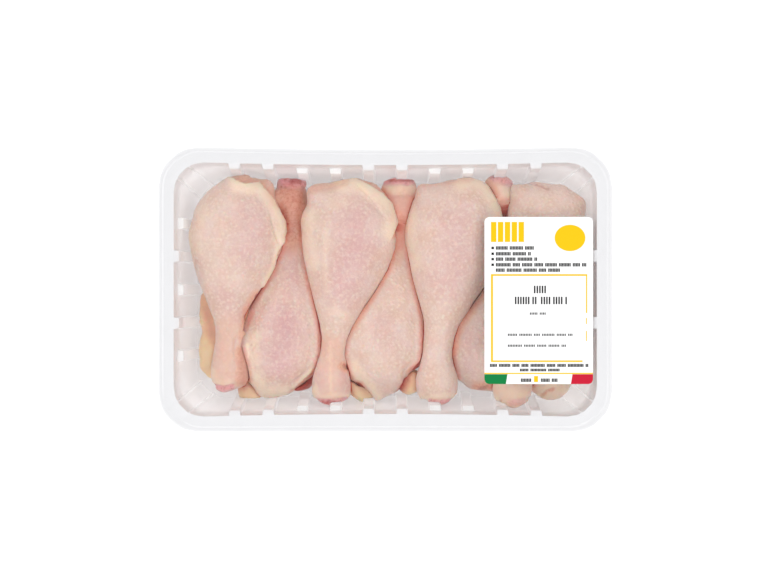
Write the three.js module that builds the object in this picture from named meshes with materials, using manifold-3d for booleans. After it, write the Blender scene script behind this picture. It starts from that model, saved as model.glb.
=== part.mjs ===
// A sealed tray pack of raw chicken drumsticks: a thin ribbed plastic tray with a flat rim, eight
// drumsticks laid head to tail in it, six loose pieces of skin tucked between them, a clear film
// welded over the rim, and a paper label stuck on the film.
// Millimetres, +Z up, +X along the tray, origin under the middle of the tray.
import * as THREE from "three";
import { mergeVertices } from "three/addons/utils/BufferGeometryUtils.js";
import Module from "manifold-3d";

// The tray: its rim is the widest part, and its walls lean in towards the base.
const TRAY_LENGTH = 290;
const TRAY_WIDTH = 182;
const TRAY_HEIGHT = 65;
const RIM_WIDTH = 10;
const RIM_CORNER = 26;
const RIM_LIP = 3.5;
const RIM_BOW = 1.6; // how far the middle of a long side is drawn in by the film
const BASE_CORNER = 22;
const WALL_TOP_CORNER = 19;
const PANEL_CORNER = 14;
const WALL = 0.8;
const WALL_LEAN = 8; // how far a wall leans in from rim to base
const PANEL_INSET = 9; // from the foot of the wall to the raised middle of the base
const PANEL_RISE = 2;

// The ribs that stiffen the walls. A high rib ends just under the rim, a low one leaves a shelf.
const RIB_PITCH = 21.4;
const RIB_HALF = 3.9;
const RIB_SLANT = 0.6; // how far a rib's flank leans
const RIB_DEPTH = 3.2;
const LONG_RIBS = ["high", "high", "low", "low", "high", "high", "low", "low", "high", "high"];
const SHORT_RIBS = ["low", "high", "low", "high", "low"];
const LOW_SHELF = 52;
const HIGH_SHELF = TRAY_HEIGHT - WALL - 0.4;
const SHELF_FALL = 0.9;

// The walls' round corners, each with two thin ridges, given in degrees round the corner.
const CORNER_ROUND = [0, 18, 36, 54, 72, 90];
const CORNER_RIDGES = [29, 61];
const RIDGE_HALF = 2.6;
const RIDGE_DEPTH = 1.1;

// The film and the label lie on the rim, each clear of what carries it.
const TOUCH = 0.3;
const FILM_THICKNESS = 0.3;
const FILM_MARGIN = 1.5;
const LABEL = { width: 69.2, height: 106.5, corner: 3.2, thickness: 0.2, x: 97.8, y: -7 };
const SHEET_STEPS = 6;

// Rings of a drumstick, from the knee end to the hock end: how far along, which half width of the
// piece it takes a share of, and how thick it is for its width.
const RINGS = [
  { along: 0, of: "meat", share: 0, thick: 0.7 },
  { along: 0.012, of: "meat", share: 0.42, thick: 0.72 },
  { along: 0.05, of: "meat", share: 0.71, thick: 0.74 },
  { along: 0.11, of: "meat", share: 0.89, thick: 0.74 },
  { along: 0.19, of: "meat", share: 1, thick: 0.72 },
  { along: 0.28, of: "meat", share: 0.98, thick: 0.72 },
  { along: 0.37, of: "meat", share: 0.87, thick: 0.76 },
  { along: 0.46, of: "meat", share: 0.71, thick: 0.82 },
  { along: 0.55, of: "meat", share: 0.52, thick: 0.9 },
  { along: 0.63, of: "meat", share: 0.36, thick: 0.98 },
  { along: 0.7, of: "shank", share: 1.06, thick: 1 },
  { along: 0.77, of: "shank", share: 1, thick: 1 },
  { along: 0.83, of: "knuckle", share: 0.82, thick: 0.92 },
  { along: 0.89, of: "knuckle", share: 1, thick: 0.84 },
  { along: 0.95, of: "knuckle", share: 0.98, thick: 0.82 },
  { along: 0.985, of: "knuckle", share: 0.76, thick: 0.8 },
  { along: 1, of: "knuckle", share: 0, thick: 0.8 },
];
const RING_SIDES = 20;
const UNDERSIDE = 0.92; // the side a piece lies on is pressed a little flat

// Each drumstick's bone line (knee, thickest place, shank, hock) and its three half widths. Taper
// over 1 narrows its knee end, and drop puts its thickest place further from the knee. The odd
// ones have the thick end at the far side of the tray and lie on the even ones.
const DRUMSTICKS = [
  {
    bone: [[-86.5, 75.5, 36], [-96.5, 37, 38], [-103.5, -29, 34], [-101, -66.5, 30]],
    meat: 31,
    shank: 7.9,
    knuckle: 12.6,
    taper: 1.6,
    drop: 0.045,
  },
  {
    bone: [[-78, -72, 23], [-67.2, -31, 24], [-61.5, 39, 25], [-61.8, 73.5, 27]],
    meat: 26.8,
    shank: 7.4,
    knuckle: 9.6,
    taper: 1.8,
    drop: 0.02,
  },
  {
    bone: [[-28.6, 72, 36], [-23.6, 42, 38], [-33.8, -33, 36], [-35.8, -77, 33]],
    meat: 31.6,
    shank: 7.8,
    knuckle: 12.9,
    taper: 1.1,
    drop: 0,
  },
  {
    bone: [[-5.6, -74.5, 23], [-1.2, -32, 24], [10.3, 40, 25], [8.6, 73.5, 28]],
    meat: 28,
    shank: 7.6,
    knuckle: 11.4,
    taper: 2.4,
    drop: 0.02,
  },
  {
    bone: [[40.5, 71.5, 36], [45.2, 40, 38], [34.3, -38, 36], [33.8, -75, 33]],
    meat: 32.4,
    shank: 9.4,
    knuckle: 13.9,
    taper: 0.9,
    drop: 0.01,
  },
  {
    bone: [[62.5, -69, 23], [66.8, -33, 24], [73.8, 36, 25], [75.6, 73.5, 28]],
    meat: 24.6,
    shank: 7.5,
    knuckle: 9.8,
    taper: 1.5,
    drop: 0.02,
  },
  {
    bone: [[95, 70.5, 38], [105, 36, 40], [88.5, -36, 37], [81.2, -76, 34]],
    meat: 27.4,
    shank: 8.2,
    knuckle: 13,
    taper: 1.1,
    drop: 0.02,
  },
  {
    bone: [[107.5, -73, 21], [108.6, -37, 22], [113.5, 30, 14], [113, 66, 13]],
    meat: 20.6,
    shank: 7,
    knuckle: 9,
    taper: 1.4,
    drop: 0,
  },
];
const THICKEST = 0.19; // how far along the widest ring lies
const NARROWEST = 0.7; // how far along the shank begins

// Loose skin and trimmings that show between the drumsticks, as flattened slugs.
const TUCKED = [
  { from: [-115, 6, 20], to: [-115.5, -60, 21], wide: 8.6, thick: 0.62 },
  { from: [-57, -44, 15], to: [-53, -66, 17], wide: 9, thick: 0.8 },
  { from: [-22, -52, 22], to: [-11.5, -71, 24], wide: 8.6, thick: 0.85 },
  { from: [12, -54, 22], to: [17.5, -70, 24], wide: 7.4, thick: 0.85 },
  { from: [-97, -66, 19], to: [-82, -70.5, 20], wide: 8, thick: 0.7 },
  { from: [-77, 4, 25], to: [-93.5, -34, 26], wide: 6.5, thick: 1 },
];
const TUCKED_RINGS = 8;
const TUCKED_SIDES = 12;

const wasm = await Module();
wasm.setup();

// A closed geometry as a solid that can be cut, with its doubled vertices merged.
function solidOf(geometry) {
  const bare = geometry.clone();
  bare.deleteAttribute("normal");
  bare.deleteAttribute("uv");
  const merged = mergeVertices(bare, 1e-3);
  const corners = merged.index.array;
  const kept = [];
  for (let i = 0; i < corners.length; i += 3) {
    const [a, b, c] = corners.slice(i, i + 3);
    if (a !== b && b !== c && c !== a) kept.push(a, b, c);
  }
  return new wasm.Manifold(
    new wasm.Mesh({
      numProp: 3,
      vertProperties: merged.attributes.position.array,
      triVerts: new Uint32Array(kept),
    }),
  );
}

// A solid as a named mesh of the given finish.
function meshOf(solid, name, finish) {
  const cut = solid.getMesh();
  const geometry = new THREE.BufferGeometry();
  geometry.setAttribute("position", new THREE.BufferAttribute(cut.vertProperties, 3));
  geometry.setIndex(new THREE.BufferAttribute(cut.triVerts, 1));
  geometry.computeVertexNormals();
  const mesh = new THREE.Mesh(geometry, new THREE.MeshStandardMaterial(finish));
  mesh.name = name;
  return mesh;
}

// Places round the tray's edge, clockwise as the lathe turns: on a straight side by how far along
// it lies and whether it is on a rib, on a corner by its angle and whether it is on a ridge.
function trayStations() {
  const rounds = CORNER_ROUND.map((degrees) => ({ degrees, ridge: false }));
  for (const middle of CORNER_RIDGES)
    for (const reach of [-RIDGE_HALF, 0, RIDGE_HALF])
      rounds.push({ degrees: middle + reach, ridge: reach === 0 });
  rounds.sort((a, b) => a.degrees - b.degrees);
  const stations = [];
  for (let side = 0; side < 4; side += 1) {
    const ribs = side % 2 === 0 ? SHORT_RIBS : LONG_RIBS;
    ribs.forEach((kind, i) => {
      const middle = (i - (ribs.length - 1) / 2) * RIB_PITCH;
      for (const [reach, rib] of [
        [-RIB_HALF, null],
        [-RIB_HALF + RIB_SLANT, kind],
        [RIB_HALF - RIB_SLANT, kind],
        [RIB_HALF, null],
      ])
        stations.push({ side, along: middle + reach, rib });
    });
    for (const { degrees, ridge } of rounds)
      stations.push({ side, corner: THREE.MathUtils.degToRad(degrees), rib: null, ridge });
  }
  return stations.reverse();
}

// A point of the tray at a station, on the level that a row gives.
function trayPoint(station, row) {
  if (row.middle) return new THREE.Vector3(0, 0, row.z);
  const rib = station.rib && row[station.rib] ? RIB_DEPTH : 0;
  const turned = station.side % 2 === 1;
  const reach = (turned ? TRAY_WIDTH : TRAY_LENGTH) / 2 - row.inset;
  const span = (turned ? TRAY_LENGTH : TRAY_WIDTH) / 2 - row.inset;
  let out = reach - rib;
  let along = station.along;
  if (station.corner !== undefined) {
    const round = row.radius - (station.ridge && row.high ? RIDGE_DEPTH : 0);
    out = reach - row.radius + round * Math.cos(station.corner);
    along = span - row.radius + round * Math.sin(station.corner);
  }
  if (turned) out -= RIM_BOW * Math.max(0, 1 - (along / (span - row.radius)) ** 2);
  const point = new THREE.Vector3(out, along, row.z);
  return point.applyAxisAngle(new THREE.Vector3(0, 0, 1), (station.side * Math.PI) / 2);
}

// A body of the tray's plan: a lathe carries the rows, and each vertex goes to its station.
function trayBody(rows, stations) {
  const carrier = rows.map((row, i) => new THREE.Vector2(row.middle ? 0 : 1, i));
  const geometry = new THREE.LatheGeometry(carrier, stations.length);
  const place = geometry.attributes.position;
  for (let i = 0; i < place.count; i += 1) {
    const station = stations[Math.floor(i / rows.length) % stations.length];
    const point = trayPoint(station, rows[i % rows.length]);
    place.setXYZ(i, point.x, point.y, point.z);
  }
  return geometry;
}

// A level of the wall. Skin is how far outside the inner face it lies, and low and high say
// whether the ribs of those kinds stand there.
function wallRow(z, skin, low, high) {
  const climb = z / TRAY_HEIGHT;
  const radius = BASE_CORNER + (WALL_TOP_CORNER - BASE_CORNER) * climb;
  return { z, inset: RIM_WIDTH + WALL_LEAN * (1 - climb) - skin, radius: radius + skin, low, high };
}

// The tray as one thin shell: the first rows are the inside from the middle of the base up to the
// rim, the rest the outside.
function trayGeometry() {
  const panel = RIM_WIDTH + WALL_LEAN + PANEL_INSET;
  const level = (inset, z, radius) => ({ inset, z, radius });
  const rows = [
    { middle: true, z: PANEL_RISE + WALL },
    level(panel + WALL, PANEL_RISE + WALL, PANEL_CORNER),
    wallRow(WALL, 0, true, true),
    wallRow(LOW_SHELF, 0, true, true),
    wallRow(LOW_SHELF + SHELF_FALL, 0, false, true),
    wallRow(HIGH_SHELF, 0, false, true),
    wallRow(TRAY_HEIGHT, 0, false, false),
    level(0, TRAY_HEIGHT, RIM_CORNER),
    level(0, TRAY_HEIGHT - RIM_LIP, RIM_CORNER),
    level(WALL, TRAY_HEIGHT - RIM_LIP, RIM_CORNER - WALL),
    level(WALL, TRAY_HEIGHT - WALL, RIM_CORNER - WALL),
    wallRow(TRAY_HEIGHT - WALL, WALL, false, false),
    wallRow(HIGH_SHELF - WALL, WALL, false, true),
    wallRow(LOW_SHELF - WALL + SHELF_FALL, WALL, false, true),
    wallRow(LOW_SHELF - WALL, WALL, true, true),
    wallRow(0, WALL, true, true),
    level(panel - 1, 0, PANEL_CORNER + 1),
    level(panel + WALL, PANEL_RISE, PANEL_CORNER),
    { middle: true, z: PANEL_RISE },
  ];
  return trayBody(rows, trayStations());
}

// The room that the tray's contents can fill, clear of the base and of the ribs.
function hollowGeometry() {
  const clear = -RIB_DEPTH - TOUCH;
  const rows = [
    { middle: true, z: TRAY_HEIGHT },
    wallRow(TRAY_HEIGHT, clear, false, false),
    wallRow(PANEL_RISE + WALL + TOUCH, clear, false, false),
    { middle: true, z: PANEL_RISE + WALL + TOUCH },
  ];
  return trayBody(rows, trayStations());
}

// A flat sheet with round corners, its long sides drawn in by bow, its underside at z.
function sheetGeometry({ width, height, corner, thickness, bow = 0, x = 0, y = 0, z }) {
  const [w, h] = [width / 2, height / 2];
  const outline = new THREE.Shape();
  outline.moveTo(-w + corner, -h);
  outline.quadraticCurveTo(0, -h + 2 * bow, w - corner, -h);
  outline.absarc(w - corner, -h + corner, corner, -Math.PI / 2, 0, false);
  outline.lineTo(w, h - corner);
  outline.absarc(w - corner, h - corner, corner, 0, Math.PI / 2, false);
  outline.quadraticCurveTo(0, h - 2 * bow, -w + corner, h);
  outline.absarc(-w + corner, h - corner, corner, Math.PI / 2, Math.PI, false);
  outline.lineTo(-w, -h + corner);
  outline.absarc(-w + corner, -h + corner, corner, Math.PI, Math.PI * 1.5, false);
  const options = { depth: thickness, bevelEnabled: false, curveSegments: SHEET_STEPS };
  const geometry = new THREE.ExtrudeGeometry(outline, options);
  return geometry.translate(x, y, z);
}

// A long body round a line: a lathe carries the rings, each set square to the line and level
// across it. Grow makes it larger all round, for cutting its neighbours.
function limbGeometry(line, rings, sides, halfWidth, grow) {
  const carrier = rings.map((ring) => new THREE.Vector2(ring.share > 0 ? 1 : 0, ring.along));
  const geometry = new THREE.LatheGeometry(carrier, sides);
  const place = geometry.attributes.position;
  for (let i = 0; i < place.count; i += 1) {
    const ring = rings[i % rings.length];
    const middle = line.getPointAt(ring.along);
    const ahead = line.getTangentAt(ring.along);
    const across = new THREE.Vector3(-ahead.y, ahead.x, 0).normalize();
    const wide = ring.share > 0 ? halfWidth(ring) + grow : 0;
    const deep = ring.share > 0 ? halfWidth(ring) * ring.thick + grow : 0;
    const up = place.getX(i) * (place.getX(i) < 0 ? UNDERSIDE : 1);
    middle.addScaledVector(across, place.getZ(i) * wide);
    middle.z += up * deep;
    if (ring.share === 0) middle.addScaledVector(ahead, ring.along === 0 ? -grow : grow);
    place.setXYZ(i, middle.x, middle.y, middle.z);
  }
  return geometry;
}

function drumstickGeometry(piece, grow) {
  const line = new THREE.CatmullRomCurve3(piece.bone.map((p) => new THREE.Vector3(...p)));
  const rings = RINGS.map((ring) => {
    const lowered = Math.sin(Math.PI * Math.min(1, ring.along / NARROWEST));
    const share = ring.along < THICKEST ? ring.share ** piece.taper : ring.share;
    return { ...ring, share, along: ring.along + piece.drop * lowered };
  });
  const halfWidth = (ring) => piece[ring.of] * ring.share;
  return limbGeometry(line, rings, RING_SIDES, halfWidth, grow);
}

function tuckedGeometry(piece, grow) {
  const [from, to] = [new THREE.Vector3(...piece.from), new THREE.Vector3(...piece.to)];
  const rings = Array.from({ length: TUCKED_RINGS + 1 }, (_, i) => {
    const along = (1 - Math.cos((i / TUCKED_RINGS) * Math.PI)) / 2;
    const ends = i === 0 || i === TUCKED_RINGS;
    return { along, share: ends ? 0 : Math.sin((i / TUCKED_RINGS) * Math.PI), thick: piece.thick };
  });
  const halfWidth = (ring) => piece.wide * ring.share;
  return limbGeometry(new THREE.LineCurve3(from, to), rings, TUCKED_SIDES, halfWidth, grow);
}

const pack = new THREE.Group();

const trayFinish = { color: 0xefeeee, roughness: 0.35, transparent: true, opacity: 0.75 };
pack.add(meshOf(solidOf(trayGeometry()), "tray", trayFinish));

// Each piece of the contents is pressed flat where it meets the tray, and gives way to those
// packed before it: the upper drumsticks, then the lower ones, then the loose skin.
const hollow = solidOf(hollowGeometry());
const packed = [];
function packIn(geometryOf, name, finish) {
  let solid = solidOf(geometryOf(0)).intersect(hollow);
  for (const neighbour of packed) solid = solid.subtract(neighbour);
  packed.push(solidOf(geometryOf(TOUCH)));
  return meshOf(solid, name, finish);
}

const skinFinish = { color: 0xe4cdc3, roughness: 0.4 };
for (const first of [0, 1])
  for (let i = first; i < DRUMSTICKS.length; i += 2) {
    const geometryOf = (grow) => drumstickGeometry(DRUMSTICKS[i], grow);
    pack.add(packIn(geometryOf, `drumstick_${i + 1}`, skinFinish));
  }

const fatFinish = { color: 0xe0bb92, roughness: 0.4 };
TUCKED.forEach((piece, i) => {
  const geometryOf = (grow) => tuckedGeometry(piece, grow);
  pack.add(packIn(geometryOf, `tucked_skin_${i + 1}`, fatFinish));
});

const film = sheetGeometry({
  width: TRAY_LENGTH - 2 * FILM_MARGIN,
  height: TRAY_WIDTH - 2 * FILM_MARGIN,
  corner: RIM_CORNER - FILM_MARGIN,
  thickness: FILM_THICKNESS,
  bow: RIM_BOW,
  z: TRAY_HEIGHT + TOUCH,
});
const filmFinish = { color: 0xffffff, roughness: 0.1, transparent: true, opacity: 0.15 };
pack.add(meshOf(solidOf(film), "film", filmFinish));

const labelZ = TRAY_HEIGHT + TOUCH + FILM_THICKNESS + TOUCH;
const label = sheetGeometry({ ...LABEL, z: labelZ });
pack.add(meshOf(solidOf(label), "label", { color: 0xfafafa, roughness: 0.5 }));

export default pack;
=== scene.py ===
import random
import bpy
import numpy as np
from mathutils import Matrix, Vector, noise
from mathutils.bvhtree import BVHTree


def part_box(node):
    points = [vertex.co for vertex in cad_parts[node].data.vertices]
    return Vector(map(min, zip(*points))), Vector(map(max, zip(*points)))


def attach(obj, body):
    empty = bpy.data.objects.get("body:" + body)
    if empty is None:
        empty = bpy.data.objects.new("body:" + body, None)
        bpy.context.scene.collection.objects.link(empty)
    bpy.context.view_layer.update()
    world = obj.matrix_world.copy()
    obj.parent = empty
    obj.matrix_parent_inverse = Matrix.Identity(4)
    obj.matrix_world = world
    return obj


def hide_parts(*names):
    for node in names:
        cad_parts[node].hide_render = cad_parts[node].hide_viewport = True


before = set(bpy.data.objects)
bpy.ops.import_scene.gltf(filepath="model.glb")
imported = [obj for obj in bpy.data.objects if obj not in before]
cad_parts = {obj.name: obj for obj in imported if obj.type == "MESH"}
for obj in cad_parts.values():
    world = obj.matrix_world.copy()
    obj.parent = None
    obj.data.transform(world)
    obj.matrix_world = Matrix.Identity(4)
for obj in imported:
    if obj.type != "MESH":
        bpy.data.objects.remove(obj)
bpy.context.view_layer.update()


# ---- The stage ----------------------------------------------------------------------------
# The pack lies on a plain surface that glows a little, so that it reads as an even white, and is
# seen from straight above through a long lens. Large soft lights stand round it, where the film
# doesn't mirror them into the lens, and the near one is the strongest.
CAMERA_HEIGHT = 1.2
RIM_HEIGHT = 0.065
PHOTO_WIDTH = 772
METRES_PER_PIXEL = 0.000638  # on the plane of the rim
SENSOR = 36.0
CAMERA_ACROSS = 0.00045
LIGHTS = {  # each one's place, size and watts
    "light_left": ((-1.25, 0.25, 1.35), (1.0, 1.4), 4.9),
    "light_right": ((1.0, 0.1, 1.45), (1.4, 1.0), 4.1),
    "light_far": ((-0.2, 1.4, 1.4), (1.4, 1.0), 1.6),
    "light_near": ((0.1, -1.0, 1.45), (1.4, 1.0), 5.7),
}
STUDIO_LIGHT = 0.74
FLOOR_SIZE = 30.0
FLOOR_DROP = 0.0002
FLOOR_GREY = 150
FLOOR_GLOW = 1.22

camera_data = bpy.data.cameras.new("camera")
camera = bpy.data.objects.new("camera", camera_data)
bpy.context.scene.collection.objects.link(camera)
camera.location = (CAMERA_ACROSS, 0.0, CAMERA_HEIGHT)
camera_data.sensor_width = SENSOR
camera_data.lens = SENSOR * (CAMERA_HEIGHT - RIM_HEIGHT) / (PHOTO_WIDTH * METRES_PER_PIXEL)
bpy.context.scene.camera = camera


def soft_light(name, place, size, watts):
    data = bpy.data.lights.new(name, "AREA")
    data.shape = "RECTANGLE"
    data.size, data.size_y = size
    data.energy = watts
    light = bpy.data.objects.new(name, data)
    bpy.context.scene.collection.objects.link(light)
    light.location = place
    light.rotation_euler = (-Vector(place)).to_track_quat("-Z", "Y").to_euler()
    light.visible_camera = False


for light_name, (light_place, light_size, watts) in LIGHTS.items():
    soft_light(light_name, light_place, light_size, watts)

world = bpy.data.worlds.new("studio")
bpy.context.scene.world = world
world.use_nodes = True
world.node_tree.nodes["Background"].inputs["Color"].default_value = (1.0, 1.0, 1.0, 1.0)
world.node_tree.nodes["Background"].inputs["Strength"].default_value = STUDIO_LIGHT
bpy.context.scene.view_settings.view_transform = "Standard"


def seen_colour(red, green, blue):
    """A colour as the eye reads it off the photograph, from 0 to 255, in the shader's terms."""
    return tuple((level / 255.0) ** 2.2 for level in (red, green, blue)) + (1.0,)


def plain_material(name, colour, roughness):
    material = bpy.data.materials.new(name)
    material.use_nodes = True
    shader = material.node_tree.nodes["Principled BSDF"]
    shader.inputs["Base Color"].default_value = colour
    shader.inputs["Roughness"].default_value = roughness
    return material, shader


bpy.ops.object.select_all(action="DESELECT")
bpy.ops.mesh.primitive_plane_add(size=FLOOR_SIZE, location=(0.0, 0.0, -FLOOR_DROP))
floor = bpy.context.object
floor.name = "floor"
floor_grey = seen_colour(FLOOR_GREY, FLOOR_GREY, FLOOR_GREY)
floor_material, shader = plain_material("floor_white", floor_grey, 0.9)
shader.inputs["Specular IOR Level"].default_value = 0.1
shader.inputs["Emission Color"].default_value = (1.0, 1.0, 1.0, 1.0)
shader.inputs["Emission Strength"].default_value = FLOOR_GLOW
floor.data.materials.append(floor_material)


# ---- The tray -----------------------------------------------------------------------------
# A milky, slightly see-through tray drawn down from one hot plastic sheet, so it is thickest
# and whitest at the rim and thinnest low in the walls and in the corners. Ribs and corner
# ridges stiffen it. The flat tops of the low ribs carry a painted highlight, pure white and opaque.
EDGE_ROUND = 0.0005
LOW_SHELVES = (0.0505, 0.0535)  # the heights between which the low ribs end
RIM_OUTER = 0.0855  # beyond this the near side's rim is filled out again, as the photograph shows
RIM_STRAIGHT = 0.119
NEAR_BOW = 0.0015
JOIN_WITHIN = 0.000005
CORNERS = {"X": (0.1, 0.125), "Y": (0.05, 0.075)}  # where the sheet grows thinner towards them
WALL_COVER = 0.59  # how much of what is behind it the sheet hides, low in the walls
CORNER_COVER = 0.47  # the same low in the corners, where it is thinnest
RIM_COVER = 0.93
WALL_THICKENS = (0.045, 0.0645)  # the heights between which it thickens towards the rim
RIM_BEGINS = (0.0635, 0.0648)
WALL_TINT = seen_colour(243, 240, 241)
RIM_TINT = seen_colour(244, 244, 246)
# the pure white of the painted highlight on the rib tops
SHELF_PAINTED_HIGHLIGHT = seen_colour(255, 255, 255)
MIX_UNDER, MIX_OVER, MIX_RESULT = 6, 7, 2  # a colour mix's sockets


def joined_copy(node, name):
    """A copy of a solid on its own, with its loose triangles joined up."""
    piece = bpy.data.objects.new(name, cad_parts[node].data.copy())
    bpy.context.scene.collection.objects.link(piece)
    piece.data.materials.clear()
    bpy.ops.object.select_all(action="DESELECT")
    bpy.context.view_layer.objects.active = piece
    piece.select_set(True)
    bpy.ops.object.mode_set(mode="EDIT")
    bpy.ops.mesh.select_all(action="SELECT")
    bpy.ops.mesh.remove_doubles(threshold=JOIN_WITHIN)
    bpy.ops.object.mode_set(mode="OBJECT")
    return piece


def finish_with(piece, kind, **values):
    """Puts a modifier on a piece and applies it."""
    modifier = piece.modifiers.new(kind.lower(), kind)
    for name, value in values.items():
        setattr(modifier, name, value)
    bpy.context.view_layer.objects.active = piece
    bpy.ops.object.modifier_apply(modifier=modifier.name)


def add_node(material, kind, **values):
    """A shader node with the values of its sockets and settings, by name."""
    node = material.node_tree.nodes.new("ShaderNode" + kind)
    for name, value in values.items():
        if hasattr(node, name):
            setattr(node, name, value)
        else:
            node.inputs[name.replace("_", " ")].default_value = value
    return node


def wire(material, source, target):
    material.node_tree.links.new(source, target)


tray = joined_copy("tray", "tray_shell")
for vertex in tray.data.vertices:
    if vertex.co.y < -RIM_OUTER:
        vertex.co.y -= NEAR_BOW * max(0.0, 1.0 - (vertex.co.x / RIM_STRAIGHT) ** 2)
bpy.ops.object.mode_set(mode="EDIT")
bpy.ops.mesh.select_all(action="SELECT")
bpy.ops.mesh.tris_convert_to_quads(face_threshold=0.02, shape_threshold=0.7)
bpy.ops.object.mode_set(mode="OBJECT")
finish_with(tray, "BEVEL", width=EDGE_ROUND, segments=2, limit_method="ANGLE", angle_limit=0.5)
bpy.ops.object.shade_smooth_by_angle(angle=0.33)
# The flat tops of the low ribs, which get a painted highlight.
low, high = LOW_SHELVES
shelves = [float(face.normal.z > 0.5 and low < face.center.z < high) for face in tray.data.polygons]
tray.data.attributes.new("shelf", "FLOAT", "FACE").data.foreach_set("value", shelves)

tray_plastic, shader = plain_material("tray_milky_plastic", seen_colour(243, 243, 245), 0.3)
place = add_node(tray_plastic, "TexCoord")
split = add_node(tray_plastic, "SeparateXYZ")
wire(tray_plastic, place.outputs["Object"], split.inputs["Vector"])
nearer = add_node(tray_plastic, "Math", operation="MINIMUM")
for side, (axis, (start, end)) in enumerate(CORNERS.items()):
    out = add_node(tray_plastic, "Math", operation="ABSOLUTE")
    wire(tray_plastic, split.outputs[axis], out.inputs[0])
    share = add_node(tray_plastic, "MapRange", From_Min=start, From_Max=end)
    wire(tray_plastic, out.outputs["Value"], share.inputs["Value"])
    wire(tray_plastic, share.outputs["Result"], nearer.inputs[side])
thinnest = add_node(tray_plastic, "MapRange", To_Min=WALL_COVER, To_Max=CORNER_COVER)
wire(tray_plastic, nearer.outputs["Value"], thinnest.inputs["Value"])
low, high = WALL_THICKENS
thickness = add_node(tray_plastic, "MapRange", From_Min=low, From_Max=high, To_Max=RIM_COVER)
wire(tray_plastic, split.outputs["Z"], thickness.inputs["Value"])
wire(tray_plastic, thinnest.outputs["Result"], thickness.inputs["To Min"])
# On the rib tops the sheet is made fully opaque, for their painted highlight.
shelf = add_node(tray_plastic, "Attribute", attribute_name="shelf")
opaque = add_node(tray_plastic, "Math", operation="MAXIMUM")
wire(tray_plastic, thickness.outputs["Result"], opaque.inputs[0])
wire(tray_plastic, shelf.outputs["Fac"], opaque.inputs[1])
wire(tray_plastic, opaque.outputs["Value"], shader.inputs["Alpha"])
low, high = RIM_BEGINS
rim = add_node(tray_plastic, "MapRange", From_Min=low, From_Max=high)
wire(tray_plastic, split.outputs["Z"], rim.inputs["Value"])
tint = add_node(tray_plastic, "Mix", data_type="RGBA")
tint.inputs[MIX_UNDER].default_value = WALL_TINT
tint.inputs[MIX_OVER].default_value = RIM_TINT
wire(tray_plastic, rim.outputs["Result"], tint.inputs["Factor"])
# Painted highlight: the rib tops are turned pure white.
shelf_painted_highlight = add_node(tray_plastic, "Mix", data_type="RGBA")
shelf_painted_highlight.inputs[MIX_OVER].default_value = SHELF_PAINTED_HIGHLIGHT
wire(tray_plastic, shelf.outputs["Fac"], shelf_painted_highlight.inputs["Factor"])
wire(tray_plastic, tint.outputs[MIX_RESULT], shelf_painted_highlight.inputs[MIX_UNDER])
wire(tray_plastic, shelf_painted_highlight.outputs[MIX_RESULT], shader.inputs["Base Color"])
drawn = add_node(tray_plastic, "TexNoise", Scale=160.0, Detail=2.0)
wire(tray_plastic, place.outputs["Object"], drawn.inputs["Vector"])
gloss = add_node(tray_plastic, "MapRange", To_Min=0.24, To_Max=0.4)
wire(tray_plastic, drawn.outputs["Fac"], gloss.inputs["Value"])
wire(tray_plastic, gloss.outputs["Result"], shader.inputs["Roughness"])
ripple = add_node(tray_plastic, "Bump", Strength=0.15, Distance=0.0003)
wire(tray_plastic, drawn.outputs["Fac"], ripple.inputs["Height"])
wire(tray_plastic, ripple.outputs["Normal"], shader.inputs["Normal"])
tray.data.materials.append(tray_plastic)
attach(tray, "root")
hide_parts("tray")


# ---- The drumsticks -----------------------------------------------------------------------
# Eight raw drumsticks, skin on, laid head to tail and pressed against each other. The skin is
# pale and finely pimpled, thick and creamy where it is cut and rolls back, and pink where the
# meat shows through. Below the hock the shank is bare, and the cut end shows the marrow.
# Painted shade darkens and reddens the skin along the gaps where the pieces meet.
PHOTO_MIDDLE = (385.3, 289.5)
MM = 0.001
MM_PER_PIXEL = METRES_PER_PIXEL / MM
SKIN_VOXEL = 0.0009
SKIN_SMOOTHING = 40
CONTACT = 0.00045  # faces closer to a neighbour than this press on it
CONTACT_REACH = 0.003
PRESS_GAP = 0.0003
HARDLY_MOVED = 0.0001
SHRUNK = (0.0014, 0.0004)  # where smoothing took away this much, and where too little to mind
SHRUNK_BACK = 0.85  # how far back to the solid such a place is brought
FILL_FULL = 0.0018
FILL_REACH = 0.0075
SWELL_UP = 0.0025  # how far the pieces below rise where they meet those above them
SWELL_UP_NEAR = (0.001, 0.006)  # the gaps to them at which that is whole, and at which it ends
SWELL = 0.35  # millimetres, in place of what smoothing takes away
LUMP_HEIGHT, LUMP_SCALE = 0.0006, 70.0
GRAIN_HEIGHT, GRAIN_SCALE = 0.00012, 260.0
SEEN_SLOPE = (0.1, -0.4)  # how far a face may turn from the lens and still be worked on
SOFT_INNER = 0.0  # how much of a mark's half width is at full strength
HARD_INNER = 0.4
OUTER = 1.6  # where a mark or crease ends, in half widths
ROLL_INNER = 0.35  # where the roll of a skin edge is whole, in its widths
BARE_BAND = (1.0, 6.0)  # millimetres past a skin edge: all bare up to the first, none at the second
BARE_SUNK = 0.8
BARE_FLESH = 0.85
SEAM = 0.7  # how dark and red the painted shade is on the line where two pieces meet
SEAM_GAPS = (0.0003, 0.0009)
# Painted shade: skin close to a neighbouring piece is darkened and reddened, as the shade in the gaps
# between pieces.
CREVICE_GAPS = (0.0003, 0.0012)
FRINGE_GAPS = (0.0004, 0.0045)
UPPER_FRINGE, LOWER_FRINGE = 0.15, 0.6  # how strong the painted shade is beside a gap between two pieces
FAT_SMOOTH, BLUSH_SMOOTH = 0.5, 0.45  # how much these hide the pimples
RAGGED = 1.3  # how far the marks' edges stray, in pixels
RAGGED_SCALE = 380.0

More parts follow.
